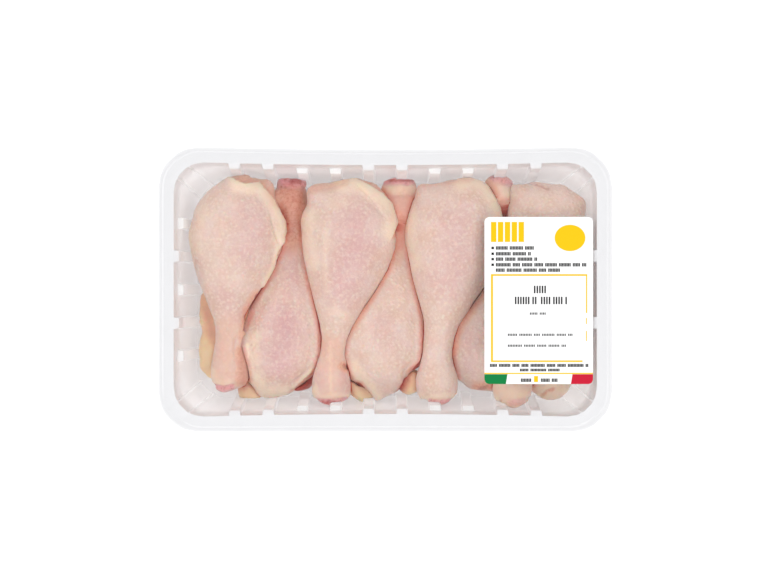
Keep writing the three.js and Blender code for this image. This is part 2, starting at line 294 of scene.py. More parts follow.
# Where skin ends: the path, the width of its roll and how high it stands. Here and below, places
# are where the photograph shows them, in its pixels, and widths and heights are real ones, in
# millimetres. Skin lies on the right hand of its edge as that is listed.
SKIN_EDGES = {
    "drumstick_1": [
        ([(237, 181), (246, 184.8), (259, 183), (266, 191), (273, 200), (279, 212), (284, 222),
          (284.4, 232), (282, 241)], 5.5, 1.3),
        ([(282, 241), (277.5, 249), (275.7, 258), (274, 266), (268, 277), (264, 284)], 2.2, 0.8),
    ],
    "drumstick_2": [([(312.4, 370.6), (303, 379), (293.6, 387)], 1.6, 0.6)],
    "drumstick_3": [
        ([(344, 181.5), (355, 179.5), (367, 185), (382.6, 195), (391, 204), (398, 213.5),
          (396, 224), (393, 232)], 6.5, 1.1),
    ],
    "drumstick_5": [
        ([(462, 180), (474, 179), (483, 182.5), (491, 190), (497, 200), (500, 212)], 6.0, 1.0),
    ],
}

# What is painted on each: the place or path, the mark's half width and how strong it is. Besides the
# meat's own colours, a few marks are painted light, painted highlights or painted shade, each noted
# where it stands.
MARKS = {
    "drumstick_1": [
        ("fat_and_painted_light", [(236, 187), (246, 189), (257, 188)], 3.6, 0.8),
        ("fat_and_painted_light", [(189, 224), (189, 248)], 2.2, 0.8),
        ("fat_and_painted_light", [(200, 210), (196, 232), (197, 250)], 5.0, 0.35),
        ("flesh", [(242, 178), (254, 176), (264, 180)], 3.0, 0.55),
        ("flesh", [(266, 180), (271, 190), (277, 201)], 5.0, 0.45),
        ("fat_and_painted_light", [(276.5, 175), (277, 188)], 0.7, 0.8),
        ("blush", [(251, 219), (254, 233), (247, 250)], 13.0, 0.6),
        ("blush", [(225, 296), (236, 312)], 9.0, 0.4),
        ("flesh", [(256, 296), (247, 312), (243, 336)], 3.6, 0.75),
        ("flesh", [(228, 330), (226, 352), (224, 372)], 8.0, 0.35),
        ("flesh", [(241, 352), (242, 366), (241, 380)], 4.4, 0.75),
        ("fat_and_painted_light", [(213, 372), (216, 381), (228, 382)], 2.4, 0.85),
        ("marrow", [(215, 387), (223, 389.5), (232, 387)], 1.8, 1.0),
        ("blood_and_shade", [(242, 352), (243, 366), (245, 382)], 3.0, 0.25),
        ("blood_and_shade", [(257, 296)], 1.4, 0.8),
        # A dark red line painted as shade in the fold along the skin's edge.
        ("blood_and_shade", [(262, 289), (254, 302), (247, 316), (244.5, 330)], 0.7, 0.7),
    ],
    "drumstick_2": [
        ("flesh", [(292, 180), (291, 205), (290, 232)], 12.0, 1.0),
        # Partly the shank's own red-brown, partly painted shade where drumstick 1 overhangs it.
        ("blood_and_shade", [(291, 194), (291, 206), (289, 226)], 8.0, 0.34),
        ("blush", [(288, 250), (292, 290)], 10.0, 0.6),
        ("marrow", [(281, 182), (302, 182)], 4.2, 1.0),
        ("blood_and_shade", [(292, 184), (299, 183)], 1.6, 0.7),
        ("blood_and_shade", [(283, 210)], 3.0, 0.35),
        ("blood_and_shade", [(286.3, 223.4)], 1.1, 0.95),
        ("blood_and_shade", [(316, 376), (308, 385), (300, 392)], 2.6, 0.75),
        ("blush", [(283, 318), (284, 340), (279, 360)], 13.0, 1.0),
        ("fat_and_painted_light", [(255, 336), (253, 350), (256, 362)], 3.4, 0.5),
        ("fat_and_painted_light", [(254, 378), (262, 394), (282, 395)], 6.0, 0.85),
        ("blood_and_shade", [(251.7, 345)], 0.8, 0.35),
        # Painted highlight: a thin pale glint along the left edge.
        ("fat_and_painted_light", [(247.8, 344), (248.2, 357)], 0.9, 1.0),
    ],
    "drumstick_3": [
        ("fat_and_painted_light", [(331, 205), (341, 203)], 4.0, 0.3),
        ("fat_and_painted_light", [(308, 214), (305, 236), (313, 262)], 5.0, 0.45),
        ("fat_and_painted_light", [(326, 232), (325, 262), (327, 290)], 2.0, 0.3),
        ("flesh", [(311, 189), (330, 185.5), (345, 182)], 3.2, 0.5),
        ("blush", [(356, 222), (356, 245), (345, 285)], 16.0, 0.75),
        # Painted highlight on the wrinkles here.
        ("fat_and_painted_light", [(333, 311), (345, 315)], 3.0, 0.3),
        ("flesh", [(331, 345), (331, 365)], 7.0, 0.45),
        ("flesh", [(331, 376), (332, 388)], 8.0, 0.3),
        ("blush", [(320, 374), (321, 382)], 4.0, 0.6),
        ("blush", [(343, 374), (344, 384)], 4.0, 0.75),
        ("fat_and_painted_light", [(315, 389), (319, 398), (345, 397)], 2.4, 0.75),
        ("fat_and_painted_light", [(330.4, 342), (330.6, 394)], 1.0, 0.55),
        ("marrow", [(319, 402), (331, 403), (345, 401)], 2.2, 1.0),
        ("blood_and_shade", [(323, 402), (334, 402)], 0.9, 0.6),
        ("blood_and_shade", [(344, 364.5), (348, 366)], 0.6, 0.6),
        ("flesh", [(342, 366), (348, 368)], 3.0, 1.0),
        ("blood_and_shade", [(346, 367)], 2.0, 0.4),
    ],
    "drumstick_4": [
        ("flesh", [(366, 180), (374, 186), (379, 194)], 5.0, 0.8),
        ("fat_and_painted_light", [(381, 189), (398, 191), (413, 190)], 3.0, 1.0),
        ("marrow", [(384, 181), (412, 181)], 2.4, 1.0),
        ("blood_and_shade", [(388.6, 181), (400, 181.5), (412, 181)], 0.8, 0.6),
        ("blush", [(394, 199), (401, 206)], 6.0, 0.9),
        ("flesh", [(402, 200), (398, 222), (394, 250)], 8.0, 0.6),
        ("flesh", [(392, 254), (378, 282), (366, 302), (353, 325)], 3.6, 0.75),
        ("blush", [(385, 325), (392, 345)], 9.0, 0.4),
        ("fat_and_painted_light", [(353, 366), (364, 384), (376, 399)], 4.6, 0.75),
    ],
    "drumstick_5": [
        ("fat_and_painted_light", [(476, 182), (486, 187), (494, 199)], 4.0, 0.6),
        ("fat_and_painted_light", [(410, 214), (407, 236), (414, 262)], 4.5, 0.45),
        ("flesh", [(418, 184), (440, 182), (470, 180)], 2.4, 0.4),
        ("blush", [(456, 222), (458, 245), (450, 280)], 15.0, 0.6),
        ("fat_and_painted_light", [(420, 396), (425, 399), (455, 396)], 2.5, 0.7),
        ("marrow", [(431, 402.5), (440, 403.5), (452, 402)], 2.0, 0.95),
    ],
    "drumstick_6": [
        # Painted light: a broad creamy mark that brightens the shank where the label shades it.
        ("fat_and_painted_light", [(488, 186), (498, 196), (503, 222)], 12.0, 0.7),
        ("flesh", [(488, 186), (498, 196), (503, 222)], 12.0, 0.15),
        ("marrow", [(496, 180), (510, 181)], 3.6, 0.9),
        ("fat_and_painted_light", [(477, 180), (484, 184)], 3.0, 1.0),
        ("blush", [(470, 330), (470, 365)], 8.0, 0.5),
        ("flesh", [(484, 292), (468, 316), (456, 336), (454, 352)], 2.8, 0.7),
        ("flesh", [(477, 388), (488, 385)], 3.2, 1.0),
        ("blood_and_shade", [(480, 388), (487, 386)], 1.2, 0.4),
    ],
    "drumstick_7": [
        ("blood_and_shade", [(536, 185.5), (542, 187), (549, 190)], 0.7, 0.35),
        ("blood_and_shade", [(507.5, 194), (507.5, 216)], 0.7, 0.7),
        # Painted light: full cream laid over the hock to brighten it in the label's shadow.
        ("fat_and_painted_light", [(493, 386), (500, 398), (525, 400)], 8.0, 1.0),
        ("flesh", [(500, 390), (512, 398), (520, 390)], 6.0, 0.25),
        ("marrow", [(511, 403), (524, 402)], 1.8, 0.5),
        ("blood_and_shade", [(500, 401)], 0.8, 0.4),
        ("flesh", [(496, 404), (510, 408)], 1.6, 0.7),
    ],
    "drumstick_8": [
        # Painted light: full cream laid over the end the label shades, to brighten it.
        ("fat_and_painted_light", [(530, 390), (550, 392), (570, 388)], 12.0, 1.0),
        ("flesh", [(536, 388), (550, 392), (566, 388)], 9.0, 0.2),
        ("flesh", [(541, 396), (547, 391), (553, 389)], 1.2, 0.8),
    ],
    "tucked_skin_1": [
        ("flesh", [(203, 300), (211, 320), (214, 340)], 3.6, 0.25),
        ("fat_and_painted_light", [(204, 345), (206, 358), (202, 372)], 5.0, 0.7),
        ("blush", [(208, 312), (212, 335)], 3.5, 0.5),
    ],
    "tucked_skin_2": [
        ("flesh", [(296, 388), (305, 370), (310, 355)], 9.0, 1.0),
        ("blood_and_shade", [(297, 388), (303, 378), (308, 366)], 9.0, 0.75),
    ],
    "tucked_skin_3": [
        ("fat_and_painted_light", [(356, 398), (370, 402)], 7.0, 0.8),
        ("blush", [(356, 378), (364, 388)], 4.0, 0.7),
    ],
    "tucked_skin_4": [
        ("flesh", [(392, 390), (400, 376)], 7.0, 1.0),
        ("blood_and_shade", [(394, 388), (402, 374)], 4.4, 0.6),
        ("fat_and_painted_light", [(413, 372), (413, 392)], 2.6, 0.7),
    ],
    "tucked_skin_5": [
        ("blush", [(243, 378), (246, 388)], 3.0, 0.6),
        ("fat_and_painted_light", [(248, 394), (262, 400)], 4.0, 0.2),
    ],
    "tucked_skin_6": [
        ("flesh", [(264, 290), (252, 310), (243, 328)], 2.0, 0.7),
        # Painted shade: the dark line of the gap between drumsticks 1 and 2.
        ("blood_and_shade", [(245, 330), (245, 352)], 1.6, 1.0),
        ("flesh", [(240, 332), (239, 350)], 2.4, 1.0),
    ],
}

# Creases, as path, half width and depth; a ridge has a depth below nothing.
CREASES = {
    "drumstick_1": [
        ([(269.7, 215), (274, 228), (277.4, 243)], 0.8, 0.9),
        ([(272, 229), (277, 240)], 0.7, 0.7),
        ([(242, 181), (250, 178), (256, 174)], 1.1, 0.8),
        ([(262, 289), (254, 302), (247, 316), (244.5, 330)], 0.9, 1.0),
        ([(236, 338), (235, 352), (236, 372)], 1.6, 0.8),
        ([(230, 326), (231, 346)], 0.9, -0.3),
        ([(226, 329), (231, 338), (237, 343)], 0.8, 0.5),
        ([(220, 350), (225, 362)], 0.8, 0.35),
        ([(214, 385), (222, 387), (236, 384)], 1.0, 0.9),
        ([(213, 376), (222, 378), (230, 375)], 1.2, -0.5),
    ],
    "drumstick_2": [
        ([(279, 188.5), (292, 190), (305, 188)], 1.1, 0.7),
        ([(291, 180), (292, 225)], 8.0, -2.2),
        ([(256, 344), (250, 352)], 1.0, 0.5),
        ([(309, 367), (300, 376), (289, 383)], 0.7, 0.5),
    ],
    "drumstick_3": [
        ([(358, 187), (370, 198), (383, 214)], 0.8, 0.5),
        ([(361, 195), (372, 205), (386, 219)], 0.8, 0.4),
        ([(312, 190), (330, 187.5), (345, 184)], 1.0, 0.6),
        ([(325, 228), (324.5, 258), (328, 290)], 1.6, -0.4),
        ([(330, 318), (338, 320), (347, 317)], 0.8, 0.3),
        ([(325, 346), (324, 360)], 0.8, 0.3),
        ([(330.4, 340), (330.6, 394)], 0.9, -0.4),
        ([(313, 399.5), (330, 400), (348, 398)], 1.0, 0.9),
        ([(343.5, 366.5), (349, 368)], 1.5, 0.9),
    ],
    "drumstick_4": [
        ([(380, 194), (398, 195.5), (414, 194)], 1.2, 0.7),
        ([(384, 184.5), (400, 185), (414, 184.5)], 0.9, 0.6),
        ([(398, 190), (398, 235)], 6.0, -1.4),
        ([(374, 326), (373.5, 348)], 0.9, -0.3),
        ([(362, 370), (372, 380), (384, 384)], 0.9, 0.35),
        ([(376, 372), (381, 380)], 0.8, 0.3),
    ],
    "drumstick_5": [
        ([(430, 182.5), (444, 181.5), (456, 181)], 0.9, 0.6),
        ([(424, 399.5), (438, 400), (454, 399)], 1.0, 0.8),
        ([(428, 350), (430, 372)], 1.0, -0.4),
        ([(441, 352), (444, 366)], 1.0, 0.3),
    ],
    "drumstick_6": [
        ([(494, 186), (511, 186)], 1.0, 0.6),
        ([(496, 184), (502, 220)], 8.0, -3.0),
    ],
    "drumstick_7": [
        ([(528, 183), (540, 186.5), (551, 190.5)], 0.7, 0.3),
        ([(500, 400), (514, 400), (530, 398)], 1.0, 0.8),
    ],
    "drumstick_8": [([(541, 396), (547, 391), (553, 389)], 1.0, 0.8)],
    "tucked_skin_1": [
        ([(198, 343), (206, 347)], 1.6, 1.0),
        ([(199, 318), (206, 322)], 1.2, 0.6),
        ([(203, 352), (204, 370)], 2.4, -0.8),
    ],
    "tucked_skin_6": [([(262, 292), (252, 310), (245, 330), (245, 348)], 4.0, -1.6)],
}

# Where a piece is drawn out: the place, the reach, and how far to the right, up and towards us.
PULLS = {
    "drumstick_1": [
        ((272, 182), 9, (3.0, 3.5, 0.0)), ((190, 236), 16, (-1.2, 0.0, 0.0)),
        ((240, 178), 10, (0.0, 1.6, 0.0)), ((223, 389), 9, (0.0, -1.6, 0.0)),
        ((240, 331), 11, (3.6, 0.0, 0.0)),
    ],
    "drumstick_2": [
        ((291.5, 179), 6, (0.0, -1.4, 0.0)), ((281, 182), 6, (-1.4, 0.4, 0.0)),
        ((302, 182), 6, (1.8, 0.4, 0.0)), ((291, 205), 18, (0.6, 0.0, 3.0)),
        ((281, 204), 10, (-3.2, 0.0, 0.0)), ((279, 198), 9, (-1.6, 0.0, 4.0)),
        ((258, 394), 11, (-1.6, -1.0, 0.0)),
    ],
    "drumstick_3": [
        ((315, 190), 12, (-6.4, 3.6, 0.0)), ((305, 213), 13, (-1.6, 0.0, 0.0)),
        ((356, 181), 6, (0.0, 1.2, 0.0)), ((331, 400), 11, (0.0, -2.4, 0.0)),
    ],
    "drumstick_4": [
        ((398, 181), 11, (0.0, 1.8, 0.0)), ((398, 222), 24, (0.0, 0.0, 6.0)),
        ((383, 183), 6, (-1.4, 0.8, 0.0)), ((413, 183), 6, (1.2, 0.8, 0.0)),
        ((386, 200), 9, (-3.0, 0.0, 0.0)),
        ((377, 399), 7, (0.3, -2.6, 0.0)), ((414, 375), 11, (-4.5, 1.5, 0.0)),
    ],
    "drumstick_5": [((421, 187), 9, (-3.4, 3.2, 0.0)), ((439, 399), 11, (0.0, -2.6, 0.0))],
    "drumstick_6": [
        ((499, 181), 10, (1.0, 1.0, 0.0)), ((500, 202), 22, (0.8, 0.0, 8.0)),
        ((494, 204), 10, (-3.2, 0.0, 0.0)), ((480, 390), 10, (0.0, 1.8, 0.0)),
    ],
    "drumstick_7": [
        ((514, 189), 10, (-4.0, 3.6, 0.0)), ((582, 204), 12, (3.4, 2.2, 0.0)),
        ((550, 181), 13, (0.0, -2.6, 0.0)),
        ((513, 402), 11, (0.4, -3.2, 0.0)), ((512, 394), 18, (0.0, 0.0, 3.0)),
    ],
    "drumstick_8": [((550, 396), 26, (1.0, -0.4, 8.0))],
    "tucked_skin_1": [
        ((201, 332), 9, (3.0, 0.0, 0.0)), ((200, 298), 6, (-1.0, 0.0, 0.0)),
        ((200, 367), 6, (-1.6, -0.4, 0.0)),
    ],
    "tucked_skin_2": [((303, 384), 10, (0.0, -1.0, 4.0)), ((298, 388), 8, (-3.6, -0.8, 3.0))],
    "tucked_skin_3": [((361, 394), 12, (2.0, -3.2, 0.0)), ((368, 388), 9, (3.4, 1.0, 0.0))],
    "tucked_skin_4": [((410, 380), 14, (0.0, 5.0, 0.0))],
}
PAINTS = ("fat_and_painted_light", "blush", "flesh", "marrow", "blood_and_shade", "crevice_shade")
UPPER = ("drumstick_1", "drumstick_3", "drumstick_5", "drumstick_7")


def where_seen(places):
    """Where the camera sees each point, in the photograph's pixels."""
    spread = (CAMERA_HEIGHT - RIM_HEIGHT) / (CAMERA_HEIGHT - places[:, 2]) / METRES_PER_PIXEL
    across = PHOTO_MIDDLE[0] + places[:, 0] * spread
    down = PHOTO_MIDDLE[1] - places[:, 1] * spread
    return np.column_stack((across, down))


def from_path(spots, path):
    """How far each spot is from a path, in millimetres, and less than nothing on its left."""
    nearest = np.full(len(spots), np.inf)
    signed = np.zeros(len(spots))
    corners = [np.array(corner, dtype=float) for corner in path]
    for start, end in zip(corners, corners[1:] or corners):
        step = end - start
        share = np.clip((spots - start) @ step / max(step @ step, 1e-9), 0.0, 1.0)
        gap = spots - start - share[:, None] * step
        distance = np.hypot(gap[:, 0], gap[:, 1]) * MM_PER_PIXEL
        closer = distance < nearest
        nearest[closer] = distance[closer]
        turn = step[0] * gap[:, 1] - step[1] * gap[:, 0]
        signed[closer] = np.where(turn[closer] < 0.0, -1.0, 1.0) * distance[closer]
    return signed


def fade(values, full, none):
    """One where the values are at or past full, nothing at none, and a smooth way between."""
    share = np.clip((values - none) / (full - none), 0.0, 1.0)
    return share * share * (3.0 - 2.0 * share)


def points_of(piece):
    places = np.empty(len(piece.data.vertices) * 3)
    piece.data.vertices.foreach_get("co", places)
    return places.reshape(-1, 3)


def normals_of(piece):
    normals = np.empty(len(piece.data.vertices) * 3)
    piece.data.vertices.foreach_get("normal", normals)
    return normals.reshape(-1, 3)


def move_to(piece, places):
    piece.data.vertices.foreach_set("co", places.ravel())
    piece.data.update()


def tree_of(nodes):
    """A search tree of the faces of some solids."""
    corners, faces = [], []
    for node in nodes:
        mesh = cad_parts[node].data
        first = len(corners)
        corners.extend(vertex.co.copy() for vertex in mesh.vertices)
        faces.extend([first + i for i in face.vertices] for face in mesh.polygons)
    return BVHTree.FromPolygons(corners, faces)


CONTENTS = [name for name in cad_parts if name.startswith(("drumstick", "tucked"))]


def settle(piece, node):
    """Puts a smoothed piece back on its solid where it presses on its neighbours or has shrunk.
    The pieces below then swell up against those above them. Returns how near each vertex is to
    a neighbour."""
    own = tree_of([node])
    others = tree_of([name for name in CONTENTS if name != node])
    places = points_of(piece)
    nearness = np.empty(len(places))
    on_solid = np.empty_like(places)
    on_other = np.empty_like(places)
    for i, place in enumerate(places):
        nearest = own.find_nearest(place)[0]
        on_solid[i] = nearest
        nearness[i] = others.find_nearest(nearest)[3]
    shrunk = np.linalg.norm(on_solid - places, axis=1)
    back = np.maximum(fade(nearness, CONTACT, CONTACT_REACH), SHRUNK_BACK * fade(shrunk, *SHRUNK))
    places += (on_solid - places) * back[:, None]
    if node not in UPPER:
        above_it = tree_of(UPPER)
        for i, place in enumerate(places):
            on_other[i], _, _, nearness[i] = above_it.find_nearest(place)
        short_of_it = 1.0 - PRESS_GAP / np.maximum(nearness, PRESS_GAP)
        fill = fade(nearness, FILL_FULL, FILL_REACH) * short_of_it
        places += (on_other - places) * fill[:, None]
        places[:, 2] += SWELL_UP * fade(nearness, *SWELL_UP_NEAR)
        for i, place in enumerate(places):
            nearness[i] = others.find_nearest(place)[3]
    move_to(piece, places)
    return nearness


TRAY_WALL = tree_of(["tray"])


def keep_in_tray(start, end):
    """Stops each point of a piece short of the tray on its way from start to end."""
    for i in np.flatnonzero(np.linalg.norm(end - start, axis=1) > HARDLY_MOVED):
        step = Vector(end[i] - start[i])
        gap = TRAY_WALL.ray_cast(Vector(start[i]), step.normalized(), step.length + PRESS_GAP)[3]
        if gap is not None:
            end[i] = start[i] + (end[i] - start[i]) * max(gap - PRESS_GAP, 0.0) / step.length


def roughen(piece):
    """Low lumps all over, as soft meat under skin has them."""
    places, normals = points_of(piece), normals_of(piece)
    for i, place in enumerate(places):
        lump = LUMP_HEIGHT * noise.noise(Vector(place) * LUMP_SCALE)
        grain = GRAIN_HEIGHT * noise.noise(Vector(place) * GRAIN_SCALE)
        places[i] += normals[i] * (lump + grain)
    move_to(piece, places)


def store_paint(piece, paints):
    for name, amounts in paints.items():
        layer = piece.data.attributes.new(name, "FLOAT", "POINT")
        layer.data.foreach_set("value", np.clip(amounts, 0.0, 1.0).astype(np.float32))


def sculpt_piece(node, name, voxel, smoothing):
    """A solid as soft raw meat: smooth, pressed against its neighbours, creased and painted."""
    piece = joined_copy(node, name)
    finish_with(piece, "REMESH", mode="VOXEL", voxel_size=voxel)
    finish_with(piece, "SMOOTH", factor=0.8, iterations=smoothing)
    nearness = settle(piece, node)
    settled = points_of(piece)
    roughen(piece)
    places = points_of(piece)
    spots = where_seen(places)
    for spot, reach, shift in PULLS.get(node, []):
        share = fade(np.abs(from_path(spots, [spot])), 0.0, reach)
        places += share[:, None] * np.array(shift) * MM
    move_to(piece, places)
    places, normals = points_of(piece), normals_of(piece)
    spots = where_seen(places)
    above = fade(normals[:, 2], *SEEN_SLOPE)
    paints = {kind: np.zeros(len(places)) for kind in PAINTS}
    lift = np.full(len(places), SWELL)
    for path, band, height in SKIN_EDGES.get(node, []):
        signed = from_path(spots, path)
        on_skin = (signed >= 0.0) * fade(signed, ROLL_INNER * band, OUTER * band)
        bare = (signed < 0.0) * fade(-signed, *BARE_BAND)
        lift += height * on_skin - BARE_SUNK * height * bare
        paints["fat_and_painted_light"] = np.maximum(paints["fat_and_painted_light"], on_skin * above)
        paints["flesh"] = np.maximum(paints["flesh"], BARE_FLESH * bare * above)
    stray = np.array([noise.noise_vector(Vector(place) * RAGGED_SCALE)[:2] for place in places])
    ragged = spots + RAGGED * stray
    for kind, path, half_width, strength in MARKS.get(node, []):
        distance = np.abs(from_path(ragged, path))
        inner = SOFT_INNER if kind == "blush" else HARD_INNER
        amount = strength * fade(distance, inner * half_width, OUTER * half_width) * above
        paints[kind] = np.maximum(paints[kind], amount)
    for path, half_width, depth in CREASES.get(node, []):
        lift -= depth * fade(np.abs(from_path(spots, path)), 0.0, OUTER * half_width)
    # Painted shade, deep red, on skin close to its neighbours, strongest on the pieces below.
    fringe = UPPER_FRINGE if node in UPPER else LOWER_FRINGE
    beside = fringe * fade(nearness, *FRINGE_GAPS)
    paints["crevice_shade"] = np.maximum(fade(nearness, *CREVICE_GAPS), beside)
    # Painted shade: a dark red line along the seams between pieces, laid in with the blood paint.
    paints["blood_and_shade"] = np.maximum(paints["blood_and_shade"], SEAM * fade(nearness, *SEAM_GAPS))
    smooth = paints["flesh"] + paints["marrow"]
    smooth = smooth + FAT_SMOOTH * paints["fat_and_painted_light"] + BLUSH_SMOOTH * paints["blush"]
    paints["pimples"] = 1.0 - np.clip(smooth, 0.0, 1.0)
    lift *= MM * above * fade(nearness, CONTACT_REACH, CONTACT)
    places += normals * lift[:, None]
    keep_in_tray(settled, places)
    move_to(piece, places)
    store_paint(piece, paints)
    bpy.ops.object.select_all(action="DESELECT")
    piece.select_set(True)
    bpy.context.view_layer.objects.active = piece
    bpy.ops.object.shade_smooth()
    return piece


def mottle_group():
    """The uneven colour of raw flesh and skin: broad patches, fine threads and pale pimples,
    each from nothing to one, and a height for the pimples."""
    group = bpy.data.node_groups.new("raw_mottle", "ShaderNodeTree")
    group.interface.new_socket("Pimples", in_out="INPUT", socket_type="NodeSocketFloat")
    for name in ("Patches", "Threads", "Dots", "Height"):
        group.interface.new_socket(name, in_out="OUTPUT", socket_type="NodeSocketFloat")
    inlet = group.nodes.new("NodeGroupInput")
    outlet = group.nodes.new("NodeGroupOutput")
    place = group.nodes.new("ShaderNodeTexCoord")
    patches = group.nodes.new("ShaderNodeTexNoise")
    patches.inputs["Scale"].default_value = 75.0
    patches.inputs["Detail"].default_value = 3.0
    threads = group.nodes.new("ShaderNodeTexNoise")
    threads.inputs["Scale"].default_value = 420.0
    threads.inputs["Detail"].default_value = 4.0
    threads.inputs["Distortion"].default_value = 1.2
    cells = group.nodes.new("ShaderNodeTexVoronoi")
    cells.inputs["Scale"].default_value = 350.0
    cells.inputs["Randomness"].default_value = 0.8
    dots = group.nodes.new("ShaderNodeMapRange")
    dots.interpolation_type = "SMOOTHSTEP"
    for name, value in (("From Min", 0.6), ("From Max", 0.05), ("To Min", 0.0), ("To Max", 1.0)):
        dots.inputs[name].default_value = value
    kept = group.nodes.new("ShaderNodeMath")
    kept.operation = "MULTIPLY"
    height = group.nodes.new("ShaderNodeMath")
    height.operation = "MULTIPLY_ADD"
    height.inputs[1].default_value = 0.35
    for texture in (patches, threads, cells):
        group.links.new(place.outputs["Object"], texture.inputs["Vector"])
    group.links.new(cells.outputs["Distance"], dots.inputs["Value"])
    group.links.new(dots.outputs["Result"], kept.inputs[0])
    group.links.new(inlet.outputs["Pimples"], kept.inputs[1])
    group.links.new(threads.outputs["Fac"], height.inputs[0])
    group.links.new(kept.outputs["Value"], height.inputs[2])
    group.links.new(patches.outputs["Fac"], outlet.inputs["Patches"])
    group.links.new(threads.outputs["Fac"], outlet.inputs["Threads"])
    group.links.new(kept.outputs["Value"], outlet.inputs["Dots"])
    group.links.new(height.outputs["Value"], outlet.inputs["Height"])
    return group


RAW_MOTTLE = mottle_group()


def lay_over(material, under, amount, over):
    """Lays one colour over another by an amount. Each is a colour, or the output of a node."""
    mix = add_node(material, "Mix", data_type="RGBA")
    wire(material, amount, mix.inputs["Factor"])
    for socket, colour in ((mix.inputs[MIX_UNDER], under), (mix.inputs[MIX_OVER], over)):
        if isinstance(colour, tuple):
            socket.default_value = colour
        else:
            wire(material, colour, socket)
    return mix.outputs[MIX_RESULT]


def between(material, source, low, high, none=0.0, full=1.0):
    """Turns a value that runs from low to high into one that runs from none to full."""
    node = add_node(material, "MapRange", From_Min=low, From_Max=high, To_Min=none, To_Max=full)
    wire(material, source, node.inputs["Value"])
    return node.outputs["Result"]


def times(material, first, second):
    node = add_node(material, "Math", operation="MULTIPLY")
    wire(material, first, node.inputs[0])
    wire(material, second, node.inputs[1])
    return node.outputs["Value"]


def raw_material(name, colours, pimpled):
    """Wet raw skin or fat. The colours are those of the patches, and of each kind of paint."""
    material, shader = plain_material(name, colours["pale"], 0.36)
    mottle = add_node(material, "Group", node_tree=RAW_MOTTLE)
    paint = {}
    for kind in PAINTS + ("pimples",):
        layer = add_node(material, "Attribute", attribute_name=kind)
        paint[kind] = layer.outputs["Fac"]
    if pimpled:
        wire(material, paint["pimples"], mottle.inputs["Pimples"])
    patches, threads = mottle.outputs["Patches"], mottle.outputs["Threads"]
    top = lay_over(material, colours["pale"], between(material, patches, 0.35, 0.65), colours["warm"])
    blotches = between(material, patches, 0.25, 0.55, none=0.6, full=1.0)
    blush = times(material, paint["blush"], blotches)
    top = lay_over(material, top, blush, colours["blush"])
    veins = between(material, threads, 0.45, 0.75, none=0.0, full=0.5)
    top = lay_over(material, top, veins, colours["pimple"])
    thick_skin = between(material, patches, 0.3, 0.6, none=0.25, full=0.55)
    dots = times(material, mottle.outputs["Dots"], thick_skin)
    top = lay_over(material, top, dots, colours["pimple"])
    # Cream fat, and in places painted light and painted highlights.
    creamy = between(material, threads, 0.2, 0.6, none=0.75, full=1.0)
    fat_and_painted_light = times(material, paint["fat_and_painted_light"], creamy)
    top = lay_over(material, top, fat_and_painted_light, colours["fat_and_painted_light"])
    fibres = between(material, threads, 0.4, 0.7)
    meat = lay_over(material, colours["flesh"], fibres, colours["deep flesh"])
    top = lay_over(material, top, paint["flesh"], meat)
    clots = between(material, threads, 0.48, 0.7, none=0.0, full=0.6)
    marrow = lay_over(material, colours["marrow"], clots, colours["blood_and_shade"])
    top = lay_over(material, top, paint["marrow"], marrow)
    # Painted shade where the pieces meet, in a deep red.
    shade = between(material, paint["crevice_shade"], 0.0, 1.0, none=0.0, full=0.75)
    top = lay_over(material, top, shade, colours["crevice_shade"])
    # Blood, and painted shade along the seams, in folds and under overhangs.
    top = lay_over(material, top, paint["blood_and_shade"], colours["blood_and_shade"])
    wire(material, top, shader.inputs["Base Color"])
    dull = add_node(material, "Math", operation="MAXIMUM")
    moist = between(material, threads, 0.3, 0.7, none=0.3, full=0.46)
    wire(material, moist, dull.inputs[0])
    hidden = between(material, paint["crevice_shade"], 0.3, 1.0, none=0.3, full=0.95)
    wire(material, hidden, dull.inputs[1])
    wire(material, dull.outputs["Value"], shader.inputs["Roughness"])
    relief = add_node(material, "Bump", Strength=0.5, Distance=0.0006)
    wire(material, mottle.outputs["Height"], relief.inputs["Height"])
    wire(material, relief.outputs["Normal"], shader.inputs["Normal"])
    shader.inputs["Subsurface Weight"].default_value = 0.7
    shader.inputs["Subsurface Radius"].default_value = (1.0, 0.35, 0.2)
    shader.inputs["Subsurface Scale"].default_value = 0.005
    wet = between(material, paint["crevice_shade"], 0.2, 0.8, none=0.15, full=0.0)
    wire(material, wet, shader.inputs["Coat Weight"])
    shader.inputs["Coat Roughness"].default_value = 0.15
    return material


RAW_SKIN = raw_material("raw_skin", {
    "pale": seen_colour(230, 203, 192),
    "warm": seen_colour(224, 192, 175),
    "blush": seen_colour(215, 168, 168),
    "pimple": seen_colour(246, 226, 212),
    "fat_and_painted_light": seen_colour(250, 228, 205),
    "flesh": seen_colour(240, 190, 164),
    "deep flesh": seen_colour(218, 152, 128),
    "marrow": seen_colour(238, 176, 176),
    # the deep red of the painted shade between pieces
    "crevice_shade": seen_colour(224, 92, 62),
    "blood_and_shade": seen_colour(168, 54, 46),
}, True)

for number in range(1, 9):
    node = f"drumstick_{number}"
    drumstick = sculpt_piece(node, f"{node}_skin", SKIN_VOXEL, SKIN_SMOOTHING)
    drumstick.data.materials.append(RAW_SKIN)
    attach(drumstick, "root")
    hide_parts(node)


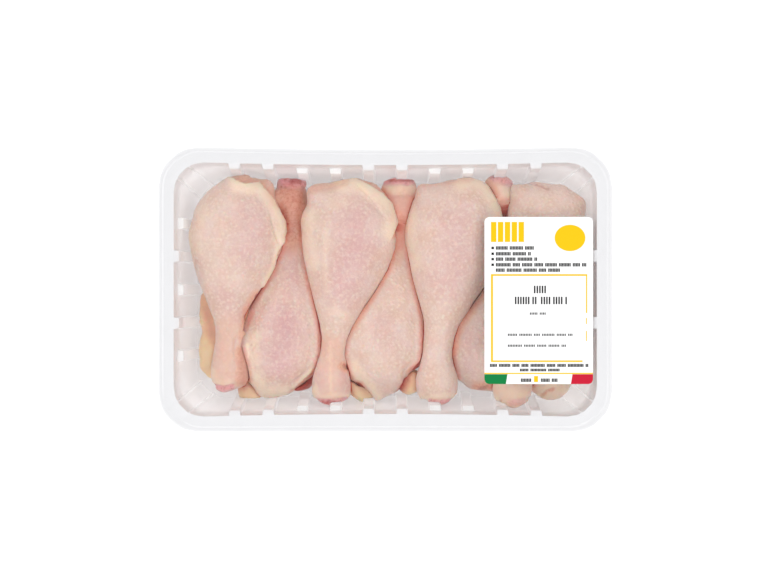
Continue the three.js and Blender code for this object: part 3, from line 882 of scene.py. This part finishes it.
# ---- The loose skin -----------------------------------------------------------------------
# Flaps of skin, fat and trimmings that hang off the drumsticks and fill the gaps between them,
# limp, wet, and more yellow or red than the skin on the meat.
LOOSE_VOXEL = 0.0007
LOOSE_SMOOTHING = 12
LOOSE_FAT = raw_material("loose_fat", {
    "pale": seen_colour(255, 220, 182),
    "warm": seen_colour(250, 204, 164),
    "blush": seen_colour(228, 174, 156),
    "pimple": seen_colour(244, 216, 176),
    "fat_and_painted_light": seen_colour(255, 224, 184),
    "flesh": seen_colour(206, 112, 92),
    "deep flesh": seen_colour(176, 66, 56),
    "marrow": seen_colour(205, 120, 90),
    # the deep red of the painted shade between pieces
    "crevice_shade": seen_colour(180, 80, 56),
    "blood_and_shade": seen_colour(186, 58, 48),
}, False)

for number in range(1, 7):
    node = f"tucked_skin_{number}"
    flap = sculpt_piece(node, f"{node}_flap", LOOSE_VOXEL, LOOSE_SMOOTHING)
    flap.data.materials.append(LOOSE_FAT)
    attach(flap, "root")
    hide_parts(node)


# ---- The film -----------------------------------------------------------------------------
# A clear lidding film, heat-welded to the rim all round and trimmed just inside its edge. It
# is taut, with slight waves away from its welded edge.
FILM_CORNER = 0.0245
FILM_BOW = 0.0016  # how far the far side is drawn in at its middle
NEAR_SIDE_BOW = 0.2  # the near side's share of that
FILM_STEPS = (110, 70)
FILM_THICKNESS = 0.00012
FILM_WAVE = 0.00022
WAVE_SCALE = (26.0, 40.0)
WAVE_DRAW = 3.0  # which of the noise's layers the waves are taken from
WAVE_RISE = 0.4
WELD_WIDTH = 0.008
WELD_SOFT = (0.001, 0.0005)  # how far its edge fades inwards and outwards
TAUT_TO = 0.03  # how far in from the edge the film gives its full wave

film_low, film_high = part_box("film")
half_film = (film_high - film_low) / 2.0
bpy.ops.object.select_all(action="DESELECT")
bpy.ops.mesh.primitive_grid_add(x_subdivisions=FILM_STEPS[0], y_subdivisions=FILM_STEPS[1], size=2.0)
film = bpy.context.object
film.name = "film_sheet"
half = np.array([half_film.x, half_film.y])
places = points_of(film)
ring = np.abs(places[:, :2]).max(axis=1)[:, None]
out = np.abs(places[:, :2]) * half
inner = ring * (half - FILM_CORNER)
beyond = np.maximum(out - inner, 0.0)
reach = np.maximum(np.linalg.norm(beyond, axis=1), 1e-9)[:, None]
out = np.minimum(out, inner) + beyond * ring * FILM_CORNER / reach
corner_reach = np.linalg.norm(np.maximum(out - half + FILM_CORNER, 0.0), axis=1)
edge_gap = np.minimum(FILM_CORNER - corner_reach, (half - out).min(axis=1))
straight = half_film.x - FILM_CORNER
drawn_in = np.maximum(0.0, 1.0 - (out[:, 0] / straight) ** 2) * out[:, 1] / half_film.y
out[:, 1] -= FILM_BOW * drawn_in * np.where(places[:, 1] > 0.0, 1.0, NEAR_SIDE_BOW)
places[:, :2] = np.sign(places[:, :2]) * out
loose = fade(edge_gap, TAUT_TO, WELD_WIDTH)
for i, place in enumerate(places):
    wave = noise.noise(Vector((place[0] * WAVE_SCALE[0], place[1] * WAVE_SCALE[1], WAVE_DRAW)))
    place[2] = film_low.z + FILM_THICKNESS + FILM_WAVE * (WAVE_RISE + wave) * loose[i]
move_to(film, places)
weld = film.data.attributes.new("weld", "FLOAT", "POINT")
sealed = fade(edge_gap, WELD_WIDTH - WELD_SOFT[0], WELD_WIDTH + WELD_SOFT[1])
weld.data.foreach_set("value", sealed.astype(np.float32))
finish_with(film, "SOLIDIFY", thickness=FILM_THICKNESS, offset=0.0)
bpy.ops.object.shade_smooth()

clear_film, shader = plain_material("clear_film", seen_colour(250, 250, 250), 0.05)
shader.inputs["Metallic"].default_value = 1.0
gleam = add_node(clear_film, "Fresnel", IOR=1.35)
welded = add_node(clear_film, "Attribute", attribute_name="weld")
haze = between(clear_film, welded.outputs["Fac"], 0.0, 1.0, none=0.01, full=0.03)
cover = add_node(clear_film, "Math", operation="ADD", use_clamp=True)
facing = add_node(clear_film, "NewGeometry")
outer_face = between(clear_film, facing.outputs["Backfacing"], 0.0, 1.0, none=1.0, full=0.0)
wire(clear_film, times(clear_film, gleam.outputs["Fac"], outer_face), cover.inputs[0])
wire(clear_film, haze, cover.inputs[1])
wire(clear_film, cover.outputs["Value"], shader.inputs["Alpha"])
film.data.materials.append(clear_film)
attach(film, "root")
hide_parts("film")


# ---- The label ----------------------------------------------------------------------------
# A coated white paper label stuck on the film, near its right end. It carries plain fields of
# ink: yellow bars and an oval, rows of dark dashes, a thin yellow frame, and a green, white and
# red band along its foot.
label_low, label_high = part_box("label")
LABEL_LEFT, LABEL_TOP, LABEL_RIGHT, LABEL_FOOT = 484.5, 217.0, 593.0, 384.0
INK_LIFT = 0.00001
INK_THICKNESS = 0.00004
LABEL_CORNER = 0.0032
BAND_TOP = 374.2
BAND_SLANT = 1.6
GREEN_END, RED_START = 507.5, 572.5
OVAL_MIDDLE = (570, 238)
OVAL_SIZE = (0.0098, 0.0084)
GROUP_LENGTHS = (6.0, 15.0)
GROUP_GAP = 1.8
ROW_SLACK = 1.0
YELLOW_INK = seen_colour(250, 202, 0)
BLACK_INK = seen_colour(14, 14, 15)
FAINT_INK = seen_colour(40, 40, 42)
GREEN_INK = seen_colour(0, 130, 68)
RED_INK = seen_colour(206, 28, 56)
uneven = random.Random(5)

# Rows of strokes, in the photograph's pixels: left, right, middle, height, a stroke's width and
# the gap after it.
FINE_ROWS = [(496, 534, 248, 3.4, 1.15, 0.35), (496, 530, 253.8, 3.4, 1.15, 0.35),
             (496, 536, 259.2, 3.4, 1.15, 0.35), (496, 586, 264.8, 3.4, 1.15, 0.35),
             (496, 560, 270.2, 3.4, 1.15, 0.35)]
BOLD_ROWS = [(534, 549, 289.5, 7.4, 1.45, 1.15), (515, 537.5, 300.5, 7.4, 1.45, 1.15),
             (541, 568, 300.5, 7.4, 1.45, 1.15)]
PALE_ROWS = [(530, 545, 313.6, 2.2, 1.0, 0.6), (508, 573, 334.8, 2.2, 1.0, 0.6),
             (508, 565, 345.7, 2.2, 1.0, 0.6)]
FOOT_ROWS = [(490, 588, 365.4, 3.0, 1.15, 0.3), (520, 559, 370, 2.6, 1.15, 0.3),
             (521, 531.5, 380.2, 3.4, 1.15, 0.35), (541, 556.5, 380.2, 3.4, 1.15, 0.35)]
CHECKS = [248, 253.8, 259.2, 264.8]
CHECK_LEFT, CHECK_RIGHT, CHECK_HALF = 491.5, 494, 1.2
YELLOW_BARS = [(491 + 6.9 * i, 222, 496.4 + 6.9 * i, 242) for i in range(5)] + [
    (491, 275.9, 493, 360.4), (491, 274.2, 587.2, 275.9), (586, 275.9, 587.2, 313),
    (586, 318, 586.9, 324), (586, 331, 586.9, 341), (491, 360.4, 582.5, 362),
    (LABEL_LEFT, 372.8, LABEL_RIGHT, 374), (534, 376, 538, 382),
]


def on_label(across, down):
    """The place on the label of a pixel of the photograph."""
    share_x = (across - LABEL_LEFT) / (LABEL_RIGHT - LABEL_LEFT)
    share_y = (down - LABEL_TOP) / (LABEL_FOOT - LABEL_TOP)
    return (label_low.x + share_x * (label_high.x - label_low.x),
            label_high.y - share_y * (label_high.y - label_low.y))


def start_ink(name):
    bpy.ops.object.select_all(action="DESELECT")
    mesh = bpy.data.meshes.new(name)
    ink = bpy.data.objects.new(name, mesh)
    bpy.context.scene.collection.objects.link(ink)
    bpy.context.view_layer.objects.active = ink
    bpy.ops.object.mode_set(mode="EDIT")
    bpy.ops.mesh.select_mode(type="VERT")
    return ink


def ink_bar(left, top, right, foot):
    x0, y0 = on_label(left, foot)
    x1, y1 = on_label(right, top)
    middle = ((x0 + x1) / 2, (y0 + y1) / 2, label_high.z + INK_LIFT + INK_THICKNESS / 2)
    bpy.ops.mesh.primitive_cube_add(size=1.0, location=middle, scale=(x1 - x0, y1 - y0, INK_THICKNESS))


def ink_row(left, right, middle, height, stroke, gap):
    """A row of upright strokes, in groups of uneven length."""
    at = left
    while at < right - ROW_SLACK:
        end = min(right, at + uneven.uniform(*GROUP_LENGTHS))
        while at < end:
            ink_bar(at, middle - height / 2, at + stroke, middle + height / 2)
            at += stroke + gap
        at += GROUP_GAP


def finish_ink(ink, colour):
    bpy.ops.object.mode_set(mode="OBJECT")
    material, shader = plain_material(ink.name, colour, 0.45)
    shader.inputs["Specular IOR Level"].default_value = 0.2
    place = add_node(material, "TexCoord")
    grain = add_node(material, "TexNoise", Scale=1400.0)
    wire(material, place.outputs["Object"], grain.inputs["Vector"])
    satin = between(material, grain.outputs["Fac"], 0.3, 0.7, none=0.38, full=0.55)
    wire(material, satin, shader.inputs["Roughness"])
    ink.data.materials.append(material)
    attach(ink, "root")


yellow = start_ink("label_yellow")
for bar in YELLOW_BARS:
    ink_bar(*bar)
oval_x, oval_y = on_label(*OVAL_MIDDLE)
bpy.ops.mesh.primitive_cylinder_add(
    vertices=48, radius=1.0, depth=INK_THICKNESS, scale=(*OVAL_SIZE, 1.0),
    location=(oval_x, oval_y, label_high.z + INK_LIFT + INK_THICKNESS / 2))
finish_ink(yellow, YELLOW_INK)

dark = start_ink("label_dark")
for row in FINE_ROWS + FOOT_ROWS:
    ink_row(*row)
for check in CHECKS:
    ink_bar(CHECK_LEFT, check - CHECK_HALF, CHECK_RIGHT, check + CHECK_HALF)
finish_ink(dark, BLACK_INK)

bold = start_ink("label_grey")
for row in BOLD_ROWS:
    ink_row(*row)
finish_ink(bold, BLACK_INK)

pale = start_ink("label_pale")
for row in PALE_ROWS:
    ink_row(*row)
finish_ink(pale, FAINT_INK)


def band_end(name, left, right, slanted_side, colour):
    """One end of the band, slanted on its inner side and rounded at the label's corner."""
    ink = start_ink(name)
    ink_bar(left, BAND_TOP, right, LABEL_FOOT)
    bpy.ops.object.mode_set(mode="OBJECT")
    middle_x = on_label((left + right) / 2, LABEL_FOOT)[0]
    middle_y = on_label(left, (BAND_TOP + LABEL_FOOT) / 2)[1]
    slant = BAND_SLANT * METRES_PER_PIXEL
    for vertex in ink.data.vertices:
        if (vertex.co.x - middle_x) * slanted_side > 0 and vertex.co.y < middle_y:
            vertex.co.x -= slant
    for vertex in ink.data.vertices:
        outer = (vertex.co.x - middle_x) * slanted_side < 0
        vertex.select = outer and vertex.co.y < middle_y
    for part in (*ink.data.edges, *ink.data.polygons):
        part.select = all(ink.data.vertices[i].select for i in part.vertices)
    bpy.ops.object.mode_set(mode="EDIT")
    bpy.ops.mesh.bevel(offset=LABEL_CORNER, segments=8)
    finish_ink(ink, colour)


band_end("label_green", LABEL_LEFT, GREEN_END, 1.0, GREEN_INK)
band_end("label_red", RED_START, LABEL_RIGHT, -1.0, RED_INK)

label_paper, shader = plain_material("label_paper", seen_colour(255, 255, 255), 0.5)
place = add_node(label_paper, "TexCoord")
fibre = add_node(label_paper, "TexNoise", Scale=900.0, Detail=3.0)
wire(label_paper, place.outputs["Object"], fibre.inputs["Vector"])
satin = between(label_paper, fibre.outputs["Fac"], 0.3, 0.7, none=0.42, full=0.6)
wire(label_paper, satin, shader.inputs["Roughness"])
paper_relief = add_node(label_paper, "Bump", Strength=0.2, Distance=0.00005)
wire(label_paper, fibre.outputs["Fac"], paper_relief.inputs["Height"])
wire(label_paper, paper_relief.outputs["Normal"], shader.inputs["Normal"])
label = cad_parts["label"]
label.data.materials.clear()
label.data.materials.append(label_paper)
